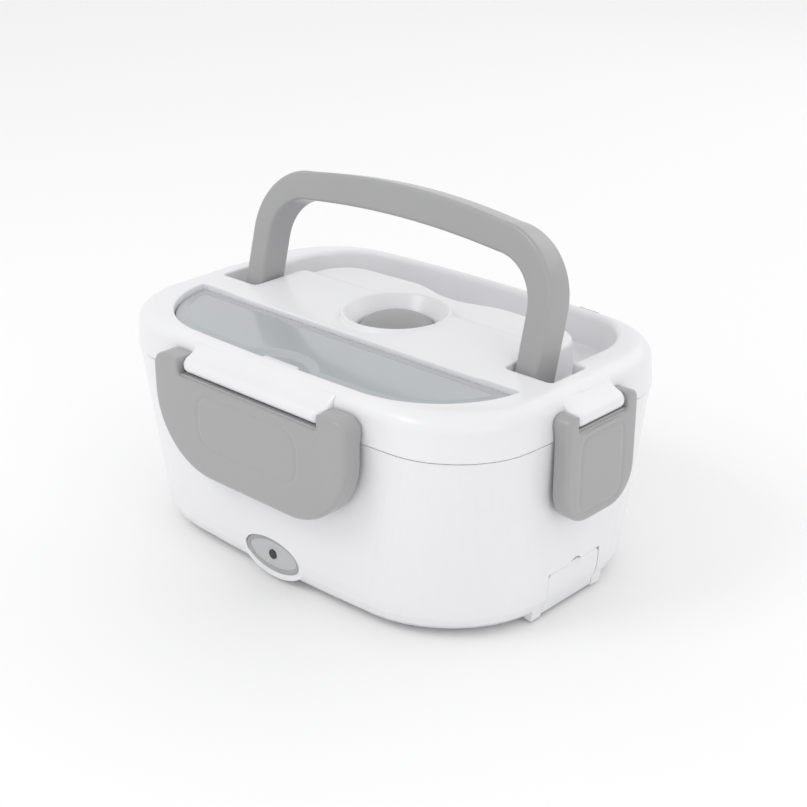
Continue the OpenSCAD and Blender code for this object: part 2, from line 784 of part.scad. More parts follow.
vent_z = lid_top + 2.2;
cup_z = 98;
stem_r = 6;
module vent_cup() {
  translate([0, vent_y, 0]) rotate_extrude($fn = 96) polygon([
    [0, cup_z], [plug_r + 2.4, cup_z], [vent_r - 1, deck_z + 1], [vent_r + 3, deck_z + 1],
    [vent_r + 2.6, crown_z - 0.9], [vent_r, vent_z - 0.4], [vent_r - 0.5, vent_z],
    [vent_r - 1.2, vent_z - 0.3], [plug_r + 0.6, deck_z + 0.3], [plug_r + 0.6, cup_z + 2],
    [0, cup_z + 2]
  ]);
}

post_x = 62;
module lid_cover() {
  color(white) difference() {
    union() {
      difference() {
        union() {
          difference() {
            lid_solid();
            lid_hollow();
          }
          for (k = [0:3]) latch_bar(k);
          // Pans of the spoon compartment and of the handle's channel
          intersection() {
            lid_solid();
            union() {
              translate([0, 0, inner_top]) linear_extrude(roof_z + 1 - inner_top) polygon(spoon_plan(wall));
              translate([0, 0, channel_under]) linear_extrude(roof_z + 1 - channel_under)
                channel_plan(wall);
            }
          }
          translate([0, 0, inner_top]) linear_extrude(lid_edge - inner_top + eps)
            polygon(spoon_plan(wall));
          translate([0, 0, channel_under]) linear_extrude(lid_edge - channel_under + eps)
            channel_plan(wall);
        }
        translate([0, 0, spoon_floor]) linear_extrude(50) polygon(spoon_plan(0));
        translate([0, 0, channel_floor]) linear_extrude(50) channel_plan(0);
        // Room under the deck
        translate([0, 0, channel_under - 1]) linear_extrude(50) intersection() {
          deck_plan(-wall);
          translate([-200, -spoon_back + wall]) square(400);
        }
      }
      // Deck and its skirt
      intersection() {
        translate([0, 0, deck_z - 1]) linear_extrude(20) deck_plan(0);
        translate([-deck_half - 5, 0, 0]) rotate([90, 0, 90]) linear_extrude(2 * deck_half + 10)
          deck_profile();
      }
      translate([0, 0, channel_under]) linear_extrude(deck_z - channel_under + eps) difference() {
        intersection() {
          deck_plan(0);
          translate([-200, -slot_front - wall]) square(400);
        }
        intersection() {
          deck_plan(-wall);
          translate([-200, -spoon_back + wall]) square(400);
        }
      }
      vent_cup();
      for (sx = [-1, 1]) {
        for (y = [-18.5, 32]) translate([sx * post_x, y, inner_top]) cylinder(r = 3.5, h = deck_z + 1 - inner_top);
        // Bearing of the handle's peg
        translate([sx * (deck_half - 3.5), 0, pivot_z]) rotate([0, 90, 0])
          cylinder(r = pivot_r + 3, h = 7, center = true);
      }
      // Tongue that holds the spoon compartment's cover
      translate([-11, -spoon_front - 1, cover_low - 1]) cube([22, 4.5, 3]);
    }
    translate([0, vent_y, 0]) cylinder(r = stem_r + turn_gap, h = cup_z + 3);
    translate([0, vent_y, cup_z + 2]) cylinder(r = plug_r + 0.6, h = deck_z - cup_z, $fn = 96);
    translate([0, vent_y, deck_z + 0.2])
      cylinder(r1 = plug_r + 0.6, r2 = vent_r - 1, h = vent_z - deck_z, $fn = 96);
    for (k = [0:3]) latch_bar_cuts(k);
    translate([-deck_half - 5, 0, pivot_z]) rotate([0, 90, 0])
      cylinder(r = pivot_r + turn_gap, h = 2 * deck_half + 10);
    translate([-hinge_half, hinge_y, hinge_z]) rotate([0, 90, 0])
      cylinder(r = hinge_r + turn_gap, h = 2 * hinge_half);
  }
}

// Cover of the spoon compartment, hinged along its straight edge
cover_low = lid_top - 4.6;
hinge_r = 0.8;
hinge_y = -spoon_back - 2.2;
hinge_z = cover_low + cover_t / 2;
hinge_half = spoon_cx + spoon_r + 0.8;
module spoon_cover() {
  color(smoke) difference() {
    union() {
      translate([0, 0, cover_low]) linear_extrude(cover_t) intersection() {
        polygon(spoon_plan(-0.6));
        translate([-200, -200]) square([400, 200 - spoon_back - 0.6]);
      }
      // Raised middle
      translate([0, 0, cover_low + cover_t - eps]) linear_extrude(0.7 + eps) intersection() {
        polygon(spoon_plan(-6));
        translate([-200, -200]) square([400, 200 - spoon_back - 4.5]);
      }
      for (s = [-1, 1]) translate([s * (hinge_half - 2.6), hinge_y, hinge_z]) rotate([0, 90, 0])
        cylinder(r = hinge_r, h = 4.4, center = true);
    }
    // Dished rest for a fingertip, and room for the tongue
    translate([0, -spoon_front - 12, cover_low + 0.8]) cylinder(r = 29, h = 10, $fn = 96);
    translate([-11.4, -spoon_front - 2, cover_low - 1]) cube([22.8, 5.9, 10]);
  }
}

module vent_plug() {
  top = lid_top - 0.3;
  edge = lid_top - 5;
  dome = [for (i = [0:8]) let(t = 90 * i / 8) [plug_r * cos(t), edge + (top - edge) * sin(t)]];
  color(grey) translate([0, vent_y, 0]) rotate_extrude($fn = 96) polygon(concat(
    [[0, inner_z - 0.5], [stem_r, inner_z - 0.5], [stem_r, cup_z + 2 + lift_gap],
     [plug_r - 2, cup_z + 2 + lift_gap], [plug_r, cup_z + 3.5]],
    dome
  ));
}

// --- Handle ----------------------------------------------------------------------------------
handle_arch = 3.4;
handle_r = 34;
handle_inner_r = 22;
module handle_profile() {
  top = handle_reach - handle_arch - 1;
  cx = handle_half - handle_r;
  outer = concat(
    [[handle_half, 0]],
    arc(cx, top - handle_r, handle_r, 0, 90, 12),
    [for (t = [0.6, 0.2, -0.2, -0.6]) [cx * t, handle_reach - (handle_arch + 1) * t * t]],
    arc(-cx, top - handle_r, handle_r, 90, 180, 12),
    [[-handle_half, 0]]
  );
  in_half = handle_half - leg_w;
  in_top = handle_reach - 15 - handle_arch;
  icx = in_half - handle_inner_r;
  inner = concat(
    [[in_half, -1]],
    arc(icx, in_top - handle_inner_r, handle_inner_r, 0, 90, 10),
    [for (t = [0.6, 0.2, -0.2, -0.6]) [icx * t, handle_reach - 15 - handle_arch * t * t]],
    arc(-icx, in_top - handle_inner_r, handle_inner_r, 90, 180, 10),
    [[-in_half, -1]]
  );
  difference() {
    polygon(outer);
    polygon(inner);
  }
}

module handle() {
  color(grey) translate([0, 0, pivot_z]) rotate([-handle_lean, 0, 0]) {
    rotate([90, 0, 0]) translate([0, 0, -handle_t / 2]) linear_extrude(handle_t) handle_profile();
    for (s = [-1, 1]) {
      translate([s * (handle_half - leg_w / 2), 0, 0]) rotate([0, 90, 0])
        cylinder(r = handle_t / 2, h = leg_w, center = true);
      translate([s * (deck_half + 0.3 + (handle_half - leg_w)) / 2, 0, 0]) rotate([0, 90, 0])
        cylinder(r = pivot_r + 2.5, h = handle_half - leg_w - deck_half - 0.2, center = true);
      translate([s * (deck_half - 1.5), 0, 0]) rotate([0, 90, 0])
        cylinder(r = pivot_r, h = 8, center = true);
    }
  }
}

// --- Latches ---------------------------------------------------------------------------------
latch_t = 2.2;
latch_deep = 3.9;
bar_gap = 2;
function latch_corner(k) = k % 2 == 0 ? 36.4 : 17;
// Outline of a latch seen from outside, drawn in by d, from its upper left corner round below
function latch_outline(k, d, top) =
  let(
    h = side_half(k) - d,
    r = latch_corner(k) - d,
    z = side_low(k) + latch_corner(k)
  )
  concat([[-h, top]], arc(-(h - r), z, r, 180, 270, 12), arc(h - r, z, r, 270, 360, 12), [[h, top]]);
// The face's edge is rounded: rings from the face inward to the body
latch_round = 2.2;
function latch_ring(k, d, v) =
  [for (p = latch_outline(k, d, latch_pin_z - 4)) [p[0], v, p[1]]];

// Side view of a horn about the axis: flat in front and on top, and round behind
horn_corner = 3;
module horn_profile(deep) {
  intersection() {
    circle(wide_face);
    translate([-deep, -wide_face]) square([2 * wide_face, wide_face + horn_rise - horn_corner]);
  }
  intersection() {
    circle(wide_face);
    translate([horn_corner - deep, -wide_face]) square([2 * wide_face, wide_face + horn_rise]);
  }
  translate([horn_corner - deep, horn_rise - horn_corner]) circle(horn_corner);
  translate([-deep, -9]) square([deep + 3.4, 9]);
}

// Front view of a horn: its outer corner is rounded
module horn_front(k) {
  half = side_half(k);
  r = k % 2 == 0 ? 6.5 : 4.5;
  top = latch_pin_z + horn_rise;
  translate([0, latch_pin_z - 9]) square([half, 9 + horn_rise - r]);
  translate([0, latch_pin_z - 9]) square([half - r, 9 + horn_rise]);
  translate([half - r, top - r]) circle(r);
}

module latch(k) {
  half = side_half(k);
  bar = side_bar(k);
  v = -side_out(k);
  deep = side_face(k);
  face = v - deep;
  hook_half = bar * 0.42;
  color(grey) rotate([0, 0, sides[k][1]]) {
    difference() {
      union() {
        difference() {
          skin([
            latch_ring(k, 0, v + latch_deep), latch_ring(k, 0, face + latch_round),
            for (t = [30, 60]) latch_ring(k, latch_round * (1 - cos(t)), face + latch_round * (1 - sin(t))),
            latch_ring(k, latch_round, face)
          ]);
          // Hollow behind the face
          translate([0, v + latch_deep + 1, 0]) rotate([90, 0, 0])
            linear_extrude(latch_deep + 1 + deep - latch_t) polygon(latch_outline(k, 2, latch_pin_z));
          // Room for the body's rib under the lower edge
          translate([-catch_half(k) - swing_gap, v + catch_out - catch_gap, side_low(k) - 1])
            cube([2 * (catch_half(k) + swing_gap), latch_deep, 5]);
          translate([-bar, face - 1, latch_pin_z - bar_r - bar_gap])
            cube([2 * bar, 20, 20]);
        }
        // Horns, filled down to the skirt
        for (s = [0, 1]) mirror([s, 0, 0]) intersection() {
          translate([bar, v, latch_pin_z]) rotate([90, 0, 90]) linear_extrude(half - bar)
            horn_profile(deep);
          rotate([90, 0, 0]) translate([0, 0, -v - 10]) linear_extrude(20) horn_front(k);
        }
        // Hook that snaps under the body's rib
        translate([-hook_half, 0, 0]) rotate([90, 0, 90]) linear_extrude(2 * hook_half) polygon([
          [face + latch_t - eps, catch_z - 4], [v + catch_out - catch_gap, catch_z - 2],
          [v + catch_out - catch_gap, catch_z - 0.3], [face + latch_t - eps, catch_z + 2]
        ]);
        for (s = [-1, 1]) translate([s * (bar - 1.9), v, latch_pin_z]) rotate([0, 90, 0])
          cylinder(r = peg_r, h = 4, center = true);
      }
      // Raised panel: a shallow groove around it
      translate([0, face + 0.3, 0]) rotate([90, 0, 0]) linear_extrude(5) difference() {
        panel_plan(k, 0);
        panel_plan(k, 0.7);
      }
    }
  }
}

// Panel pressed into the latch's face
module panel_plan(k, d) {
  half = side_half(k) * 0.52 - d;
  low = side_low(k) + (k % 2 == 0 ? 17 : 9) + d;
  top = latch_pin_z - bar_r - bar_gap - 4.5 - d;
  r = 8 - d;
  translate([-half + r, low]) square([2 * half - 2 * r, top - low]);
  translate([-half, low + r]) square([2 * half, top - low - 2 * r]);
  for (x = [-half + r, half - r]) for (z = [low + r, top - r]) translate([x, z]) circle(r);
}

module latch_front() { latch(0); }
module latch_right() { latch(1); }
module latch_back() { latch(2); }
module latch_left() { latch(3); }

outer_shell();
inner_liner();
heating_plate();
ptc_heaters();
heater_clamp();
clamp_screws();
thermostat();
thermal_fuse();
wire_leads();
bottom_cover();
bottom_screws();
rubber_feet();
power_inlet();
inlet_pins();
flap_pin();
socket_flap();
lamp_bezel();
lamp_lens();
lamp_board();
main_tray();
small_box();
small_box_lid();
lid_gasket();
lid_inner();
lid_cover();
spoon_cover();
vent_plug();
handle();
latch_front();
latch_back();
latch_left();
latch_right();
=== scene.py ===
import math
from collections import namedtuple

import bmesh
import bpy
import numpy as np
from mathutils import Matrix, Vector
from mathutils.geometry import delaunay_2d_cdt


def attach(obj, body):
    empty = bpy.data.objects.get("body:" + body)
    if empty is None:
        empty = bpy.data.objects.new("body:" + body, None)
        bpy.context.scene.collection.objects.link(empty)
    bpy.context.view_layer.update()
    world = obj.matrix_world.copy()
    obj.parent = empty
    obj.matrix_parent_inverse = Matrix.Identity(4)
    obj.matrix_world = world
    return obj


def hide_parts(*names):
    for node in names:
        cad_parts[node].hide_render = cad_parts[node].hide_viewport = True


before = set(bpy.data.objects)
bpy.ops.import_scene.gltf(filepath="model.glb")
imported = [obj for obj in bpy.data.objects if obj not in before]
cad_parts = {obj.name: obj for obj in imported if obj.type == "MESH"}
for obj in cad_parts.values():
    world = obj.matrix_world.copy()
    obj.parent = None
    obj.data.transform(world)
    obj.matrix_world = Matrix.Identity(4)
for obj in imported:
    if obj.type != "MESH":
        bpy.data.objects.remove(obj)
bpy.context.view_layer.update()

MM = 0.001

# --- Camera, lights and floor ----------------------------------------------------------------
CAMERA_AT = Vector((460.3, -481.3, 354.7)) * MM
CAMERA_TARGET = Vector((-3.2, 14.7, 60.0)) * MM
CAMERA_LENS = 66.96
CAMERA_SENSOR = 36.0

SKY_STRENGTH = 0.91
# name, place, aim, size and power
LIGHTS = [
    ("key", (-0.35, -0.9, 1.1), (0, 0, 0.05), (0.5, 0.5), 2.9),
    ("side", (1.4, -0.3, 0.7), (0, 0, 0.05), (0.8, 1.2), 1.5),
    ("back", (0.2, 1.3, 0.9), (0, 0, 0.1), (1.4, 0.7), 1.8),
]

FLOOR_HALF = 4.0


def place_aimed(name, data, at, target):
    """Puts a camera or light in the scene and points it at a target."""
    obj = bpy.data.objects.new(name, data)
    obj.location = at
    obj.rotation_euler = (target - at).to_track_quat("-Z", "Y").to_euler()
    bpy.context.scene.collection.objects.link(obj)
    return obj


def make_camera():
    data = bpy.data.cameras.new("camera")
    data.sensor_width = CAMERA_SENSOR
    data.lens = CAMERA_LENS
    data.clip_start = 0.01
    data.clip_end = 20
    bpy.context.scene.camera = place_aimed("camera", data, CAMERA_AT, CAMERA_TARGET)


def make_light():
    world = bpy.data.worlds.new("studio")
    world.use_nodes = True
    sky = world.node_tree.nodes["Background"]
    sky.inputs["Color"].default_value = (1, 1, 1, 1)
    sky.inputs["Strength"].default_value = SKY_STRENGTH
    bpy.context.scene.world = world
    bpy.context.scene.view_settings.view_transform = "Standard"
    for name, at, target, size, power in LIGHTS:
        data = bpy.data.lights.new(name, "AREA")
        data.shape = "RECTANGLE"
        data.size, data.size_y = size
        data.energy = power
        place_aimed(name, data, Vector(at), Vector(target))


def make_floor():
    corners = [(x * FLOOR_HALF, y * FLOOR_HALF, 0) for x, y in ((-1, -1), (1, -1), (1, 1), (-1, 1))]
    mesh = bpy.data.meshes.new("floor")
    mesh.from_pydata(corners, [], [(0, 1, 2, 3)])
    floor = bpy.data.objects.new("floor", mesh)
    bpy.context.scene.collection.objects.link(floor)
    material = bpy.data.materials.new("floor")
    material.use_nodes = True
    shader = material.node_tree.nodes["Principled BSDF"]
    shader.inputs["Base Color"].default_value = (0.95, 0.95, 0.95, 1)
    shader.inputs["Roughness"].default_value = 0.6
    mesh.materials.append(material)


# --- Materials -------------------------------------------------------------------------------
CLOUD_SCALE = 22
GLOSS_DRIFT = 0.04


def moulded(name, colour, roughness, grain=0.0002, bump=0.05, vary=0.03, coat=0.0, alpha=1.0,
            metallic=0.0):
    """Moulded surface: slight drift of colour and gloss over it, and a fine grain in relief."""
    material = bpy.data.materials.new(name)
    material.use_nodes = True
    nodes = material.node_tree.nodes
    links = material.node_tree.links
    shader = nodes["Principled BSDF"]
    place = nodes.new("ShaderNodeTexCoord")

    def noise(scale, detail):
        texture = nodes.new("ShaderNodeTexNoise")
        texture.inputs["Scale"].default_value = scale
        texture.inputs["Detail"].default_value = detail
        links.new(place.outputs["Object"], texture.inputs["Vector"])
        return texture.outputs["Fac"]

    cloud = noise(CLOUD_SCALE, 3)
    tint = nodes.new("ShaderNodeMix")
    tint.data_type = "RGBA"
    tint.inputs["A"].default_value = [c * (1 - vary) for c in colour] + [1]
    tint.inputs["B"].default_value = [min(1, c * (1 + vary)) for c in colour] + [1]
    links.new(cloud, tint.inputs["Factor"])
    links.new(tint.outputs["Result"], shader.inputs["Base Color"])
    gloss = nodes.new("ShaderNodeMapRange")
    gloss.inputs["To Min"].default_value = roughness - GLOSS_DRIFT
    gloss.inputs["To Max"].default_value = roughness + GLOSS_DRIFT
    links.new(cloud, gloss.inputs["Value"])
    links.new(gloss.outputs["Result"], shader.inputs["Roughness"])
    relief = nodes.new("ShaderNodeBump")
    relief.inputs["Strength"].default_value = bump
    relief.inputs["Distance"].default_value = grain
    links.new(noise(1 / (grain * 6), 2), relief.inputs["Height"])
    links.new(relief.outputs["Normal"], shader.inputs["Normal"])
    shader.inputs["Metallic"].default_value = metallic
    shader.inputs["Coat Weight"].default_value = coat
    shader.inputs["Alpha"].default_value = alpha
    return material


def make_materials():
    return {
        "white": moulded("white_plastic", (0.82, 0.82, 0.837), 0.3, bump=0.04, coat=0.2),
        "grey": moulded("grey_plastic", (0.362, 0.362, 0.366), 0.3, bump=0.08, coat=0.2),
        "pale": moulded("pale_grey_plastic", (0.50, 0.505, 0.52), 0.5, grain=0.0004, bump=0.35,
                        vary=0.05),
        # Plug: the same grey plastic as the handle and latches, darkened to paint the shade of the
        # vent cone it sits in
        "deep": moulded("plug_plastic_painted_shade", (0.32, 0.32, 0.325), 0.4, bump=0.12, coat=0.1),
        "smoke": moulded("smoke_plastic", (0.505, 0.528, 0.55), 0.14, bump=0.02, coat=0.3,
                         alpha=0.85),
        "aluminium": moulded("aluminium", (0.72, 0.73, 0.74), 0.3, metallic=1.0),
        "steel": moulded("steel", (0.6, 0.6, 0.61), 0.28, metallic=1.0),
        "ceramic": moulded("ceramic", (0.75, 0.74, 0.7), 0.6),
        "dark": moulded("dark_plastic", (0.02, 0.02, 0.022), 0.45),
        "rubber": moulded("rubber", (0.03, 0.03, 0.032), 0.7, bump=0.2),
        "brass": moulded("brass", (0.75, 0.58, 0.3), 0.25, metallic=1.0),
        "board": moulded("board", (0.02, 0.16, 0.06), 0.4),
        "wire": moulded("wire", (0.45, 0.03, 0.02), 0.45),
        "tray": moulded("tray_plastic", (0.75, 0.75, 0.75), 0.35),
        "clear": moulded("clear_lid", (0.62, 0.67, 0.7), 0.2, alpha=0.7),
        "silicone": moulded("silicone", (0.74, 0.74, 0.72), 0.6),
        "lamp": moulded("lamp_window", (0.025, 0.025, 0.028), 0.2, coat=0.1),
    }


# Material of each CAD node
LOOKS = {
    "white": ["outer_shell", "inner_liner", "bottom_cover", "socket_flap", "lid_inner",
              "lid_cover"],
    "grey": ["lamp_bezel", "vent_plug", "handle", "latch_front", "latch_back", "latch_left",
             "latch_right"],
    "smoke": ["spoon_cover"],
    "aluminium": ["heating_plate"],
    "steel": ["heater_clamp", "flap_pin"],
    "ceramic": ["ptc_heaters", "thermal_fuse"],
    "dark": ["power_inlet", "thermostat", "clamp_screws", "bottom_screws"],
    "rubber": ["rubber_feet"],
    "brass": ["inlet_pins"],
    "board": ["lamp_board"],
    "wire": ["wire_leads"],
    "tray": ["main_tray", "small_box"],
    "clear": ["small_box_lid"],
    "silicone": ["lid_gasket"],
    "lamp": ["lamp_lens"],
}


# --- Lines and areas, in millimetres ---------------------------------------------------------
def resample(points, step):
    """Closed line with points a step apart."""
    points = np.asarray(points, float)
    ends = np.vstack([points, points[:1]])
    lengths = np.linalg.norm(np.diff(ends, axis=0), axis=1)
    run = np.concatenate([[0], np.cumsum(lengths)])
    count = max(8, int(round(run[-1] / step)))
    at = np.linspace(0, run[-1], count, endpoint=False)
    return np.column_stack([np.interp(at, run, ends[:, k]) for k in range(points.shape[1])])


def blur(values, sigma, step):
    """Gaussian average round a closed line whose values lie a step apart."""
    reach = int(math.ceil(3.5 * sigma / step))
    offsets = range(-reach, reach + 1)
    weights = [math.exp(-0.5 * (k * step / sigma) ** 2) for k in offsets]
    total = sum(w * np.roll(values, k, axis=0) for w, k in zip(weights, offsets))
    return total / sum(weights)


def soft_loop(points, sigma, step):
    """Closed line with its corners rounded off."""
    fine = 0.4
    return resample(blur(resample(points, fine), sigma, fine), step)


def outward(loop):
    """Unit vectors to the right of an anticlockwise loop, away from what it encloses."""
    along = np.roll(loop, -1, axis=0) - np.roll(loop, 1, axis=0)
    along /= np.linalg.norm(along, axis=1)[:, None]
    return np.column_stack([along[:, 1], -along[:, 0]])


def arc(cx, cy, r, start, end, count):
    angles = np.radians(np.linspace(start, end, count))
    return [(cx + r * math.cos(t), cy + r * math.sin(t)) for t in angles]


def unit_circle(count):
    turn = np.linspace(0, 2 * math.pi, count, endpoint=False)
    return np.column_stack([np.cos(turn), np.sin(turn)])


def mirrored(points):
    """The same line on the other side of x = 0, run the other way."""
    return [(-x, y) for x, y in reversed(points)]


def enclosed(points, loop):
    """Which points lie inside a closed loop."""
    x, y = points[:, 0], points[:, 1]
    inside = np.zeros(len(points), bool)
    for (x1, y1), (x2, y2) in zip(loop, np.roll(loop, -1, axis=0)):
        if y1 == y2:
            continue
        crosses = (y1 > y) != (y2 > y)
        inside ^= crosses & (x < (x2 - x1) * (y - y1) / (y2 - y1) + x1)
    return inside


def distance_to(points, loop):
    """Distance of each point from a closed loop."""
    best = np.full(len(points), 1e9)
    for a, b in zip(loop, np.roll(loop, -1, axis=0)):
        edge = b - a
        t = np.clip(((points - a) @ edge) / max(edge @ edge, 1e-12), 0, 1)
        best = np.minimum(best, np.linalg.norm(points - a - t[:, None] * edge, axis=1))
    return best


def thinned(points, gap):
    """Leaves out points that lie closer than a gap to one before them."""
    kept = []
    for p in points:
        if not kept or np.min(np.abs(np.array(kept) - p).max(axis=1)) > gap:
            kept.append(p)
    return np.array(kept)


def fill(outer, holes, spacing, extra=None):
    """Triangles between a loop and its holes, over a regular grid of points and some extra ones."""
    loops = [outer] + holes

    def within(points):
        good = enclosed(points, outer)
        for hole in holes:
            good &= ~enclosed(points, hole)
        return good

    low, high = outer.min(axis=0), outer.max(axis=0)
    xs = np.arange(low[0] + spacing / 2, high[0], spacing)
    ys = np.arange(low[1] + spacing / 2, high[1], spacing)
    grid = np.array([(x + (spacing / 2 if i % 2 else 0), y) for i, y in enumerate(ys) for x in xs])
    grid = grid[within(grid)]
    for loop in loops:
        grid = grid[distance_to(grid, loop) > spacing * 0.55]
    if extra is not None:
        far = [np.linalg.norm(extra - p, axis=1).min() > spacing * 0.6 for p in grid]
        grid = np.vstack([grid[far], extra])
    edges = []
    start = 0
    for loop in loops:
        count = len(loop)
        edges += [(start + i, start + (i + 1) % count) for i in range(count)]
        start += count
    points = [Vector(p) for p in np.vstack(loops + [grid])]
    found, _, faces, *_ = delaunay_2d_cdt(points, edges, [], 0, 1e-7)
    found = np.array([tuple(p) for p in found])
    faces = np.array([f for f in faces if len(f) == 3])
    return found, faces[within(found[faces].mean(axis=1))]


def ease(t):
    """Smooth step from 0 to 1."""
    t = np.clip(t, 0, 1)
    return t * t * (3 - 2 * t)


def at_height(loop, z):
    return np.column_stack([loop, np.broadcast_to(z, len(loop))])


def turned(points, degrees):
    """Points turned about the vertical axis."""
    c, s = math.cos(math.radians(degrees)), math.sin(math.radians(degrees))
    points = np.array(points, float)
    x, y = points[:, 0].copy(), points[:, 1].copy()
    points[:, 0], points[:, 1] = x * c - y * s, x * s + y * c
    return points


# --- Meshes ----------------------------------------------------------------------------------
class Builder:
    """Collects skins in millimetres and makes one mesh of them, with shared edges joined."""

    def __init__(self):
        self.points = []
        self.faces = []

    def skin(self, points, faces):
        start = len(self.points)
        self.points.extend(map(tuple, points))
        self.faces.extend(tuple(int(start + i) for i in face) for face in faces)

    def rings(self, rings):
        """Bands of quads from each ring to the next."""
        count = len(rings[0])
        faces = []
        for k in range(len(rings) - 1):
            a, b = k * count, (k + 1) * count
            for i in range(count):
                j = (i + 1) % count
                faces.append((a + i, a + j, b + j, b + i))
        self.skin([p for ring in rings for p in ring], faces)

    def solid(self, rings):
        """Bands with both ends closed."""
        self.rings(rings)
        for end in (rings[0], rings[-1]):
            self.skin(end, [range(len(end))])

    def make(self, name, node, material, body, sharp):
        """Makes the piece that stands for a CAD node and rides on its body."""
        mesh = bpy.data.meshes.new(name)
        mesh.from_pydata([[c * MM for c in p] for p in self.points], [], self.faces)
        work = bmesh.new()
        work.from_mesh(mesh)
        bmesh.ops.remove_doubles(work, verts=work.verts, dist=0.02 * MM)
        bmesh.ops.dissolve_degenerate(work, edges=work.edges, dist=0.005 * MM)
        bmesh.ops.recalc_face_normals(work, faces=work.faces)
        work.to_mesh(mesh)
        work.free()
        mesh.materials.append(material)
        piece = bpy.data.objects.new(name, mesh)
        bpy.context.scene.collection.objects.link(piece)
        smooth_by_angle(piece, sharp)
        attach(piece, body)
        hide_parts(node)


def smooth_by_angle(obj, degrees):
    for polygon in obj.data.polygons:
        polygon.use_smooth = True
    obj.data.set_sharp_from_angle(angle=math.radians(degrees))


def dress_nodes(materials):
    for look, names in LOOKS.items():
        for name in names:
            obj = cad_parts[name]
            obj.data.materials.clear()
            obj.data.materials.append(materials[look])
            smooth_by_angle(obj, 32)


# --- Sizes of the CAD model, in millimetres --------------------------------------------------
HALF_L, HALF_W, CORNER_R = 119.4, 82.0, 36.0
SIDE_BOW, END_BOW = 6.2, 5.0
LID_TOP, LID_EDGE = 109.8, 90.5
SHOULDER_RISE, SHOULDER_RUN, SIDE_DRAFT = 7.3, 7.4, 0.8
SHOULDER_LOW = LID_TOP - SHOULDER_RISE
VENT_Y = 6.3
# Half-moon compartment: its straight back, its front, and the arcs at its ends
SPOON_BACK, SPOON_FRONT = -26.0, -73.0
SPOON_R, SPOON_X, SPOON_Y = 51.0, 51.5, -21.0
# Axis of the latches, and its distance out from the lid's side
AXIS_Z, AXIS_OUT = 99.5, 4.0
HORN_R, HORN_GAP, HORN_TOP = 5.0, 0.45, 103.0
PLATE_TOP, PLATE_THICK, CATCH_Z = 94.9, 2.2, 60.5
# Bar that a latch hangs on: radius of its lip, reach from the lid's side, radius of its ends,
# gap between an end and the horn beside it, and height of its underside
LIP_R, BAR_REACH, BAR_END_R, BAR_GAP, BAR_LOW = 3.3, 7.3, 4.3, 0.3, 96.2
# Pivot of the handle, and how far it leans back
PIVOT_Z = 100.0
LEAN = math.radians(14.5)

# turn: about Z in degrees; out: from the middle to the axis; half: half width; bar: half the
# bar's length; low, corner: lower edge and its corners' radius; face: from the axis to the face;
# horn_round: outer top corner; back: reach behind the axis at heights 90.5, 95 and the axis;
# panel: half width, low, top and corner radius of the panel's outline
Latch = namedtuple("Latch", "name turn out half bar low corner face horn_round back panel")
WIDE = (62.4, 45.2, 48.3, 36.4, 5.0, 6.5, (3.9, 4.6, HORN_R), (32.4, 64.3, 90.2, 9))
NARROW = (24.7, 17.4, 51.0, 17.0, 3.6, 4.5, (3.6, 3.9, HORN_R), (15, 56.0, 91.6, 6))
LATCHES = [
    Latch("front", 0, HALF_W + AXIS_OUT, *WIDE),
    Latch("right", 90, HALF_L + AXIS_OUT, *NARROW),
    Latch("back", 180, HALF_W + AXIS_OUT, *WIDE),
    Latch("left", 270, HALF_L + AXIS_OUT, *NARROW),
]


# --- Lid -------------------------------------------------------------------------------------
def lid_outline(inset):
    """Plan of the lid drawn in by an inset: a rounded rectangle whose sides curve outward."""
    a, b, r = HALF_L - inset, HALF_W - inset, CORNER_R - inset * 0.3
    ca, cb = a - r, b - r
    points = []
    for sx, sy, start in ((1, 1, 0), (-1, 1, 90), (-1, -1, 180), (1, -1, 270)):
        points += arc(sx * ca, sy * cb, r, start, start + 90, 28)
        if start % 180 == 0:
            points += [(sx * ca * t, sy * b) for t in np.linspace(1, -1, 44)[1:-1]]
        else:
            points += [(sx * a, sy * cb * t) for t in np.linspace(1, -1, 20)[1:-1]]
    points = np.array(points)
    x = points[:, 0] - np.sign(points[:, 0]) * END_BOW * (points[:, 1] / b) ** 2
    y = points[:, 1] - np.sign(points[:, 1]) * SIDE_BOW * (points[:, 0] / a) ** 2
    return np.column_stack([x, y])


def clear_of_horns(points):
    """Draws points of the lid's side inward where a latch's horn swings past them."""
    points = np.array(points, float)
    reach = HORN_R + HORN_GAP
    for latch in LATCHES:
        local = turned(points, -latch.turn)
        side = np.abs(local[:, 0])
        share = ease(side - latch.bar + 1.2) * ease((latch.half + 1.6 - side) / 1.4)
        rise = np.clip(1 - ((local[:, 2] - AXIS_Z) / reach) ** 2, 0, None)
        limit = -latch.out + reach * np.sqrt(rise)
        near = (local[:, 1] < -latch.out + 20) & (rise > 0)
        local[:, 1] += np.clip(limit - local[:, 1], 0, None) * share * near
        points = turned(local, latch.turn)
    return points


def half_moon(inset, notch=()):
    """Plan of the spoon compartment drawn in by an inset, with an optional notch in front."""
    r = SPOON_R - inset
    end = math.degrees(math.asin((SPOON_BACK - inset - SPOON_Y) / r))
    right = arc(SPOON_X, SPOON_Y, r, -90, end, 40)
    front = [(SPOON_X * t, SPOON_FRONT + inset + t * t) for t in np.linspace(-1, 1, 12)[1:-1]]
    if notch:
        front = [p for p in front if p[0] < -14] + list(notch) + [p for p in front if p[0] > 14]
    return right + mirrored(right) + front


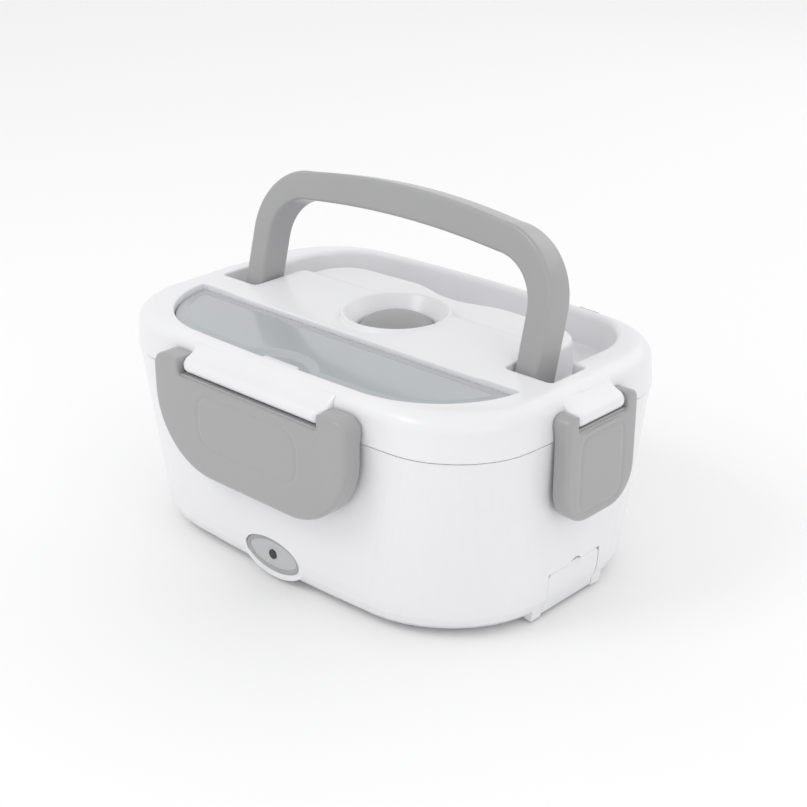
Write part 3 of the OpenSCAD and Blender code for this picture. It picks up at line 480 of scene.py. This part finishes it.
def channel_line():
    """Edge of the U-shaped channel that takes the folded handle, with the wells of its legs."""
    bend_x, bend_y, bend_r = 61.8, 36, 36
    deck_x, deck_y, deck_r = 60, 32, 20.3
    scoop_half, scoop_depth, deck_back = 31, 6.3, 53.6
    well_inner, well_outer, well_front, well_back, well_neck = 80.3, 106.0, -10.5, 14.0, 97.8
    back = [(bend_x * t, 73.3 - 1.3 * t * t) for t in np.linspace(1, -1, 24)[1:-1]]
    scoop = []
    for x in np.linspace(-scoop_half, scoop_half, 24):
        share = (1 + math.cos(math.pi * x / scoop_half)) / 2
        scoop.append((x, deck_back - scoop_depth * share))
    well = [(well_inner, well_front), (well_outer, well_front), (well_outer, well_back),
            (well_neck, well_back)]
    points = well + arc(bend_x, bend_y, bend_r, 0, 90, 24) + back
    points += arc(-bend_x, bend_y, bend_r, 90, 180, 24) + mirrored(well)
    points += arc(-deck_x, deck_y, deck_r, 180, 90, 16) + scoop
    points += arc(deck_x, deck_y, deck_r, 90, 0, 16)
    return soft_loop(points, 1.1, 1.5)


def deck_height(y):
    """Crown over the vent, then a soft step down to the shelf at the back."""
    front = LID_TOP - 0.8 + 2 * (1 - ((y - VENT_Y) / (VENT_Y - SPOON_BACK)) ** 2)
    shelf = 107.55 - 0.016 * (y - 28)
    return front + (shelf - front) * ease((y - 19.5) / 10)


def lid_height(points, edge, edge_inset):
    """Height of the lid's top: the rim with its shoulder, and the deck inside it."""
    x, y = np.abs(points[:, 0]), points[:, 1]
    deck = np.where(y > SPOON_BACK - 3, ease((86 - x) / 14), 0)
    deck = np.where(y > 14, (x < 84) & (y < 60), deck)
    inset = edge_inset + distance_to(points, edge)
    past = np.clip((SHOULDER_RUN + SIDE_DRAFT - inset) / SHOULDER_RUN, 0, 1)
    rim = LID_TOP - SHOULDER_RISE * (1 - np.sqrt(1 - past ** 2))
    return rim + (deck_height(y) - rim) * deck


def add_opening(build, loop, round_r, top, floor, draft):
    """Opening in the lid's top: a rounded edge, then a wall down to a floor. Gives its rim."""
    foot = 1.6
    away = outward(loop)
    rim = loop + away * round_r[:, None]
    level = top(rim)
    rings = []
    for angle in np.radians(np.linspace(0, 90, 7)):
        place = loop + away * (round_r * (1 - math.sin(angle)))[:, None]
        rings.append(at_height(place, level - round_r * (1 - math.cos(angle))))
    for angle in np.radians([0, 22, 45, 68, 90]):
        place = loop - away * (draft + foot * (1 - math.cos(angle)))
        rings.append(at_height(place, floor + foot * (1 - math.sin(angle))))
    build.rings(rings)
    points, faces = fill(rings[-1][:, :2], [], 7.0)
    build.skin(at_height(points, floor), faces)
    return rim


def add_vent(build, top):
    """Raised lip round a cone that narrows to the plug's cup. Gives its foot."""
    circle = unit_circle(96)
    middle = [0, VENT_Y]
    lip_z = 111.5
    foot = circle * 29.6 + middle
    foot_z = top(foot)
    rings = [at_height(foot, foot_z)]
    for share, r in ((0.06, 28.6), (0.25, 27.7), (0.55, 27.15), (0.85, 26.85)):
        rings.append(at_height(circle * r + middle, foot_z + (lip_z - foot_z) * share))
    for r, z in ((26.6, 111.75), (26.15, 111.95), (25.6, 111.95), (25.1, 111.7), (24.7, 111.2),
                 (21.6, 107.4), (19.6, 104.9), (19.1, 104.0), (19.0, 100.2), (18.4, 100.0),
                 (3.0, 100.0)):
        rings.append(at_height(circle * r + middle, z))
    build.rings(rings)
    return foot


def add_lid_side(build):
    """Shoulder, side and rounded lower edge, then a short return inside down to the skirt."""
    rings = []
    for angle in np.radians(np.arange(60, -1, -5)):
        inset = SIDE_DRAFT + SHOULDER_RUN * (1 - math.cos(angle))
        rings.append(at_height(lid_outline(inset), SHOULDER_LOW + SHOULDER_RISE * math.sin(angle)))
    for z in (101.2, 99.8, 98.4, 97.0, 95.6, 94.2, 92.8, 91.6):
        share = (z - LID_EDGE) / (SHOULDER_LOW - LID_EDGE)
        rings.append(at_height(lid_outline(SIDE_DRAFT * share), z))
    for inset, z in ((0.06, 91.1), (0.2, 90.8), (0.45, 90.6), (0.8, LID_EDGE), (2.2, LID_EDGE)):
        rings.append(at_height(lid_outline(inset), z))
    rings = [clear_of_horns(ring) for ring in rings]
    for inset, z in ((2.6, 92), (2.9, 97), (7.2, 97), (7.6, 96.6), (7.6, 88.4), (9.2, 88.4)):
        rings.append(at_height(lid_outline(inset), z))
    build.rings(rings)


def make_lid(materials):
    build = Builder()
    edge_inset = 4.5
    edge = lid_outline(edge_inset)

    def top(points):
        return lid_height(points, edge, edge_inset)

    spoon = soft_loop(half_moon(0), 1.3, 1.5)
    channel = channel_line()
    x, y = np.abs(channel[:, 0]), channel[:, 1]
    beside_deck = (x < 82) & (y < 58)
    softness = np.where(y < 15, 1.2, np.where(beside_deck, 2.4, 3.0))
    holes = [
        add_opening(build, spoon, np.full(len(spoon), 0.9), top, floor=90.4, draft=0.5),
        add_opening(build, channel, blur(softness, 4.0, 1.5), top, floor=91.6, draft=0.6),
        add_vent(build, top),
    ]
    points, faces = fill(edge, holes, 2.8)
    # The outer edge lies on the shoulder's top ring
    edge_z = SHOULDER_LOW + SHOULDER_RISE * math.sin(math.radians(60))
    height = np.where(distance_to(points, edge) < 1e-4, edge_z, top(points))
    build.skin(at_height(points, height), faces)
    add_lid_side(build)
    build.make("lid_shell", "lid_cover", materials["white"], "lid", 48)


def make_bars(materials):
    """Bars that the latches hang on, flowing out of the lid's shoulder, with rounded ends."""
    build = Builder()
    lip = arc(BAR_REACH - LIP_R, AXIS_Z, LIP_R, 74, -90, 15)
    top = [(-3.2, 107.6), (-1.9, 106.4), (-0.8, 105.35), (0.4, 104.4), (1.8, 103.6), (3.2, 103.05),
           (4.2, 102.83)]
    section = top + lip[1:] + [(1.5, BAR_LOW), (-3.2, BAR_LOW)]
    inner = section[0][0]
    for latch in LATCHES:
        half = latch.bar - BAR_GAP
        straight = half - BAR_END_R
        ends = [np.linspace(-half, -straight, 10), np.linspace(straight, half, 10)]
        rings = []
        for u in np.concatenate(ends):
            past = max(0.0, abs(u) - straight)
            drop = BAR_END_R - math.sqrt(max(0.0, BAR_END_R ** 2 - past ** 2))
            share = (BAR_REACH - drop - inner) / (BAR_REACH - inner)
            wall = -(latch.out - AXIS_OUT)
            ring = [(u, wall - (inner + (w - inner) * share), z) for w, z in section]
            rings.append(turned(ring, latch.turn))
        build.solid(rings)
    build.make("lid_tabs", "lid_cover", materials["white"], "lid", 50)


def make_tongue(materials):
    """Small tongue of the lid over the front of the spoon cover."""
    build = Builder()
    half, front, back, low, shoulder = 11, -74.5, -66.9, 104.3, 106.5
    plan = soft_loop([(-half, front), (half, front), (half, back), (-half, back)], 0.8, 0.8)
    away = outward(plan)
    rings = [at_height(plan, low)]
    for angle in np.radians(np.linspace(0, 90, 6)):
        rings.append(at_height(plan - away * (1 - math.cos(angle)), shoulder + math.sin(angle)))
    build.solid(rings)
    build.make("cover_tongue", "lid_cover", materials["white"], "lid", 50)


# --- Latches ---------------------------------------------------------------------------------
def latch_outline(latch):
    """Front view of a latch: a skirt with round lower corners and a horn at each end of the bar."""
    half, bar, corner, r = latch.half, latch.bar, latch.corner, latch.horn_round
    z = latch.low + corner
    points = arc(half - r, HORN_TOP - r, r, 0, 90, 12)
    points += [(bar, HORN_TOP), (bar, PLATE_TOP), (-bar, PLATE_TOP), (-bar, HORN_TOP)]
    points += arc(-half + r, HORN_TOP - r, r, 90, 180, 12)
    points += arc(-half + corner, z, corner, 180, 270, 24)
    points += arc(half - corner, z, corner, 270, 360, 24)
    return soft_loop(points, 0.75, 1.4)


def hollow_line(latch):
    """Edge of the hollow in the latch's back."""
    half, bar, corner = latch.half, latch.bar, latch.corner
    z = latch.low + corner
    wall, top = 2, 90.2
    right = [(half - wall, top), (bar - 0.6, top), (bar - 0.6, PLATE_TOP - 0.9)]
    arcs = arc(-half + corner, z, corner - wall, 180, 270, 16)
    arcs += arc(half - corner, z, corner - wall, 270, 360, 16)
    return soft_loop(mirrored(right) + arcs + right, 0.5, 1.4)


def rounded_box(half, low, top, r):
    points = arc(half - r, top - r, r, 0, 90, 12) + arc(-half + r, top - r, r, 90, 180, 12)
    points += arc(-half + r, low + r, r, 180, 270, 12) + arc(half - r, low + r, r, 270, 360, 12)
    return resample(points, 1.6)


def on_latch(latch, loop, depth):
    """Points of the front view, at a distance outside the axis."""
    loop = np.asarray(loop)
    depth = np.broadcast_to(depth, len(loop))
    return turned(np.column_stack([loop[:, 0], -latch.out - depth, loop[:, 1]]), latch.turn)


def across_latch(latch, side, section):
    """Section of a bar along the latch: distances outside the axis, and heights."""
    return turned([(side, -latch.out - w, z) for w, z in section], latch.turn)


def latch_back(latch, points):
    """How far the latch reaches at its back: round behind the horns."""
    u, z = np.abs(points[:, 0]), points[:, 1]
    reach = np.interp(z, [LID_EDGE, 95, AXIS_Z], latch.back)
    by_hook = (u < latch.bar * 0.46 + 0.4) & (z < latch.low + 4)
    reach = np.where(by_hook, 2.7, reach)
    reach = np.maximum(reach, np.sqrt(np.clip(HORN_R ** 2 - (z - AXIS_Z) ** 2, 0, None)))
    under_bar = (u < latch.bar - 0.2) & (z > 90)
    return np.where(under_bar, latch.face - PLATE_THICK, -reach)


def make_latch_shell(latch, material):
    build = Builder()
    edge = latch_outline(latch)
    away = outward(edge)
    u, z = np.abs(edge[:, 0]), edge[:, 1]
    on_horn = (z > PLATE_TOP + 0.8) & (u < latch.bar + 3)
    softness = blur(np.where(on_horn, 0.9, 2.0), 2.0, 1.4)

    # Rounded edge of the face, and the side down to the back
    rings = []
    for angle in np.radians(np.linspace(90, 0, 8)):
        place = edge - away * (softness * (1 - math.cos(angle)))[:, None]
        rings.append(on_latch(latch, place, latch.face - softness * (1 - math.sin(angle))))
    rings.append(on_latch(latch, edge, latch_back(latch, edge)))
    build.rings(rings)

    # Face, with the faint outline of a panel pressed into it
    groove_depth, groove_width = 0.33, 0.8
    panel = rounded_box(*latch.panel)
    offsets = (2.4, 1.5, 0.9, 0.45, 0, -0.45, -0.9, -1.5, -2.4)
    loops = [panel + outward(panel) * d for d in offsets]
    rings = []
    for loop, d in zip(loops, offsets):
        sunk = groove_depth * math.exp(-(d / groove_width) ** 2)
        rings.append(on_latch(latch, loop, latch.face - sunk))
    build.rings(rings)
    points, faces = fill(edge - away * softness[:, None], [loops[0]], 4.0)
    build.skin(on_latch(latch, points, latch.face), faces)
    points, faces = fill(loops[-1], [], 6.0)
    build.skin(on_latch(latch, points, latch.face), faces)

    # Back: the rim of the skirt, and the hollow behind the face
    floor = latch.face - PLATE_THICK
    hollow = hollow_line(latch)
    rim = hollow + outward(hollow) * 0.15
    points, faces = fill(edge, [rim], 4.0)
    build.skin(on_latch(latch, points, latch_back(latch, points)), faces)
    build.rings([on_latch(latch, rim, latch_back(latch, rim)), on_latch(latch, hollow, floor)])
    points, faces = fill(hollow, [], 7.0)
    build.skin(on_latch(latch, points, floor), faces)
    build.make("latch_" + latch.name + "_shell", "latch_" + latch.name, material,
               latch.name + "_latch", 42)


def make_latch_hook(latch, material):
    build = Builder()
    # Hook that snaps under the body's rib, narrower at its ends
    root = latch.face - 1.9
    section = [(root, CATCH_Z - 4), (-2.4, CATCH_Z - 2.1), (-2.8, CATCH_Z - 1.7),
               (-2.8, CATCH_Z - 0.7), (-2.5, CATCH_Z - 0.3), (root, CATCH_Z + 2)]
    half = latch.bar * 0.42
    rings = []
    for side, share in ((-half, 0.75), (-half + 1.2, 1), (half - 1.2, 1), (half, 0.75)):
        drawn_in = [(root + (w - root) * share, z) for w, z in section]
        rings.append(across_latch(latch, side, drawn_in))
    build.solid(rings)
    # Flange along the top, which closes most of the slot under the lid's bar
    deep, half = latch.face - 1.5, latch.bar - 0.7
    section = [(deep, 93.4), (0, 94.5), (0, 95.4), (0.25, 95.7), (deep - 0.3, 95.7), (deep, 95.4)]
    build.solid([across_latch(latch, side, section) for side in (-half, half)])
    # Pegs in the ends of the lid's bar
    circle = unit_circle(24)
    for s in (-1, 1):
        rings = []
        for r, side in ((1.6, 0.2), (1.6, -3.4), (1.2, -3.8)):
            rings.append(across_latch(latch, s * (latch.bar + side), circle * r + [0, AXIS_Z]))
        build.solid(rings)
    build.make("latch_" + latch.name + "_hook", "latch_" + latch.name, material,
               latch.name + "_latch", 42)


def make_latches(materials):
    for latch in LATCHES:
        make_latch_shell(latch, materials["grey"])
        make_latch_hook(latch, materials["grey"])


# --- Handle ----------------------------------------------------------------------------------
def handle_line():
    """Outline of the bail in its own plane: over the outside, then back along the inside."""
    foot = -7.4
    half, top, crown, bend = 94.1, 72.4, 4.4, 34
    inner_half, inner_top, inner_crown, inner_bend = 82.0, 54.0, 3.4, 22
    x, y = half - bend, top - crown - bend
    points = [(half, foot)] + arc(x, y, bend, 0, 90, 30)
    points += [(x * t, top - crown * t * t) for t in np.linspace(1, -1, 30)[1:-1]]
    points += arc(-x, y, bend, 90, 180, 30) + [(-half, foot), (-inner_half, foot)]
    x, y = inner_half - inner_bend, inner_top - inner_bend
    points += arc(-x, y, inner_bend, 180, 90, 24)
    points += [(x * t, inner_top + inner_crown * (1 - t * t)) for t in np.linspace(-1, 1, 30)[1:-1]]
    points += arc(x, y, inner_bend, 90, 0, 24) + [(inner_half, foot)]
    return soft_loop(points, 0.7, 1.6)


def make_handle(materials):
    build = Builder()
    loop = handle_line()
    away = outward(loop)
    half_thick = 7.9

    def depth(points):
        """Half thickness of the bail, round at the feet."""
        low = np.clip(-points[:, 1], 0, None)
        return np.sqrt(np.clip(half_thick ** 2 - low ** 2, 1.5, None))

    def put(points, across):
        """Stands the flat plan up and leans it back."""
        y = across * math.cos(LEAN) + points[:, 1] * math.sin(LEAN)
        z = points[:, 1] * math.cos(LEAN) - across * math.sin(LEAN)
        return np.column_stack([points[:, 0], y, PIVOT_Z + z])

    reach = depth(loop)
    round_r = np.minimum(1.7, reach * 0.6)
    rings = []
    for side in (-1, 1):
        for angle in np.radians(np.linspace(0, 90, 7))[::side]:
            place = loop - away * (round_r * (1 - math.cos(angle)))[:, None]
            rings.append(put(place, side * (reach - round_r * (1 - math.sin(angle)))))
    build.rings(rings)
    points, faces = fill(loop - away * round_r[:, None], [], 2.6)
    for side in (-1, 1):
        build.skin(put(points, side * depth(points)), faces)

    # Hubs beside the deck, and the pegs that turn in it
    circle = unit_circle(48)
    for s in (-1, 1):
        rings = []
        for r, x in ((5.5, 82.6), (5.5, 80.9), (5.2, 80.6), (3.0, 80.6), (3.0, 75.3), (2.6, 74.9)):
            rings.append([(s * x, a, PIVOT_Z + b) for a, b in circle * r])
        build.solid(rings)
    build.make("handle_bail", "handle", materials["grey"], "carry_handle", 35)


# --- Cover of the spoon compartment ----------------------------------------------------------
COVER_GAP = 0.6
TONGUE_ROOM = [(-11.5, -72.4), (-11.5, -66.2), (11.5, -66.2), (11.5, -72.4)]


def cover_line(inset, notch=()):
    """Plan of the cover, drawn in from its edge."""
    return soft_loop(half_moon(COVER_GAP + inset, notch), 0.8, 1.3)


def make_cover(materials):
    build = Builder()
    low, thick, rise, round_r = 105.2, 1.6, 0.7, 0.5
    dish_at, dish_r, dish_deep, dish_slope = np.array([0.0, -85.0]), 29.0, 1.15, 3.4
    whole = cover_line(0)
    plan = cover_line(0, TONGUE_ROOM)
    away = outward(plan)

    def top(points):
        """Flat rim, a raised middle with soft edges, and a dished rest for a fingertip."""
        raised = rise * ease((distance_to(points, whole) - 4.4) / 2.2)
        past = (dish_r - np.linalg.norm(points - dish_at, axis=1)) / dish_slope
        dish = (np.sqrt(past ** 2 + 0.01) - np.sqrt((past - 1) ** 2 + 0.01) + 1) / 2
        return low + thick + raised * (1 - dish) - dish_deep * dish

    rim = plan - away * round_r
    level = top(rim)
    bottom = plan - away * 0.3
    rings = [at_height(bottom, low), at_height(plan, low + 0.3)]
    for turn in np.radians([0, 30, 60, 90]):
        place = plan - away * round_r * (1 - math.cos(turn))
        z = np.maximum(level - round_r * (1 - math.sin(turn)), low + 0.32)
        rings.append(at_height(place, z))
    build.rings(rings)

    # Points along the steps of the top, so that its folds come out clean
    extra = [cover_line(d) for d in (2.4, 4.4, 4.95, 5.5, 6.1, 6.7, 7.6)]
    for past in (-1.2, -0.6, -0.25, 0.1, 0.45, 0.9, 1.7, 2.5, 2.95, 3.3, 3.65, 4.1, 4.8):
        extra.append(np.array(arc(*dish_at, dish_r - past, 0, 180, 70)))
    extra = thinned(np.vstack(extra), 0.3)
    extra = extra[enclosed(extra, rim)]
    extra = extra[distance_to(extra, rim) > 0.5]
    points, faces = fill(rim, [], 3.4, extra)
    build.skin(at_height(points, top(points)), faces)
    points, faces = fill(bottom, [], 8.0)
    build.skin(at_height(points, low), faces)
    build.make("spoon_cover_plate", "spoon_cover", materials["smoke"], "spoon_door",
               40)


# --- Vent plug, lamp and socket door ---------------------------------------------------------
def make_plug(materials):
    """Domed plug with a softly rounded rim, on the stem that reaches through the lid."""
    build = Builder()
    r, rim_z, dome = 18.3, 102.4, 7.9
    profile = [(0.4, 86.3), (5.6, 86.3), (6.0, 86.7), (6.0, 100.3), (16.4, 100.3), (r, 101.2),
               (r, rim_z)]
    for t in np.radians(np.linspace(6, 86, 20)):
        profile.append((r * math.cos(t), rim_z + dome * math.sin(t)))
    profile.append((0.4, rim_z + dome))
    circle = unit_circle(96)
    build.solid([at_height(circle * r + [0, VENT_Y], z) for r, z in profile])
    # Its material carries painted shade: the latch grey darkened for the shadow of the vent cone
    build.make("vent_plug_dome", "vent_plug", materials["deep"], "vent", 40)


# Lamp plate: its middle, front and back, the oval's half sizes, the ring's width and the hole
LAMP_Z, LAMP_FRONT, LAMP_BACK = 14.1, -77.4, -75.4
LAMP_HALF_L, LAMP_HALF_H, LAMP_RING, LAMP_HOLE = 18.0, 8.8, 2.5, 2.45


def on_front(points, y):
    """Stands a plan up at the lamp's place on the body's front."""
    return np.column_stack([points[:, 0], np.full(len(points), y), points[:, 1] + LAMP_Z])


def make_lamp(materials):
    """Oval plate: a rounded ring round a paler field, and the lamp's domed window."""
    oval = unit_circle(120) * [LAMP_HALF_L, LAMP_HALF_H]
    away = outward(oval)
    ring = Builder()
    rings = []
    for inset, y in ((0, LAMP_BACK), (0, LAMP_FRONT + 0.5), (0.12, LAMP_FRONT + 0.2),
                     (0.45, LAMP_FRONT), (1.3, LAMP_FRONT - 0.06), (2.1, LAMP_FRONT),
                     (2.35, LAMP_FRONT + 0.12), (LAMP_RING, LAMP_FRONT + 0.35),
                     (LAMP_RING, LAMP_BACK), (0, LAMP_BACK)):
        rings.append(on_front(oval - away * inset, y))
    ring.rings(rings)
    ring.make("lamp_ring", "lamp_bezel", materials["grey"], "base", 50)

    field = Builder()
    hole = unit_circle(48) * LAMP_HOLE
    plan = oval - away * LAMP_RING
    levels = (LAMP_FRONT + 0.3, LAMP_BACK)
    points, faces = fill(plan, [hole], 2.0)
    for y in levels:
        field.skin(on_front(points, y), faces)
    for loop in (hole, plan):
        field.rings([on_front(loop, y) for y in levels])
    field.make("lamp_field", "lamp_bezel", materials["pale"], "base", 50)

    lens = Builder()
    circle = unit_circle(40)
    lens.solid([on_front(circle * r, LAMP_FRONT + y) for r, y in (
        (2.4, 6.4), (2.4, 0.05), (2.3, -0.15), (2.05, -0.22), (1.8, -0.1), (1.7, 0.1),
        (1.5, 0.02), (1.0, -0.12), (0.4, -0.2))])
    lens.make("lamp_window", "lamp_lens", materials["lamp"], "base", 45)


DOOR_HALF, DOOR_LOW, DOOR_TOP = 18.3, 1.9, 23.2
DOOR_LEAN = math.radians(8)
PIN_X, PIN_Z = 110.147, 2.995
# Heights, and how far out the door's face lies there
DOOR_FACE_Z = [1.0, 1.9, 4.0, 6.6, 9.0, 11.0, 14.0, 17.0, 20.0, 24.0]
DOOR_FACE_X = [111.2, 111.4, 112.0, 112.75, 113.75, 114.4, 114.95, 115.2, 115.35, 115.5]


def door_outside(points):
    """The door's face: it follows the body's side, with a dip for a fingertip at the top."""
    y, z = points[:, 0], points[:, 1]
    dip = 1.1 * ease((6.2 - np.hypot(y, (z - 24.4) * 1.25)) / 2.0)
    return np.interp(z, DOOR_FACE_Z, DOOR_FACE_X) - END_BOW * (y / HALF_W) ** 2 - dip


def door_inside(points):
    return 112.42 + (points[:, 1] - DOOR_TOP) * math.tan(DOOR_LEAN)


def on_side(points, x):
    return np.column_stack([x, points])


def make_door(materials):
    """Leaf with rounded edges, and the knuckle along its foot."""
    build = Builder()
    half, r, foot_r, round_r = DOOR_HALF, 3.0, 0.8, 0.8
    plan = arc(half - r, DOOR_TOP - r, r, 0, 90, 10)
    plan += arc(-half + r, DOOR_TOP - r, r, 90, 180, 10)
    plan += arc(-half + foot_r, DOOR_LOW + foot_r, foot_r, 180, 270, 6)
    plan += arc(half - foot_r, DOOR_LOW + foot_r, foot_r, 270, 360, 6)
    plan = resample(plan, 1.0)
    away = outward(plan)
    rings = [on_side(plan, door_inside(plan))]
    for turn in np.radians([0, 22, 45, 68, 90]):
        place = plan - away * round_r * (1 - math.cos(turn))
        rings.append(on_side(place, door_outside(place) - round_r * (1 - math.sin(turn))))
    build.rings(rings)
    points, faces = fill(plan - away * round_r, [], 1.5)
    build.skin(on_side(points, door_outside(points)), faces)
    points, faces = fill(plan, [], 5.0)
    build.skin(on_side(points, door_inside(points)), faces)
    # Knuckle round the pin
    circle = unit_circle(28)
    end = DOOR_HALF - 0.1
    rings = []
    for r, y in ((1.05, -end), (1.4, -end), (1.4, end), (1.05, end), (1.05, -end)):
        rings.append([(PIN_X + r * a, y, PIN_Z + r * b) for a, b in circle])
    build.rings(rings)
    build.make("socket_door_leaf", "socket_flap", materials["white"], "socket_door",
               45)


make_camera()
make_light()
make_floor()
materials = make_materials()
dress_nodes(materials)
make_lid(materials)
make_bars(materials)
make_tongue(materials)
make_latches(materials)
make_handle(materials)
make_cover(materials)
make_plug(materials)
make_lamp(materials)
make_door(materials)

bpy.context.view_layer.update()
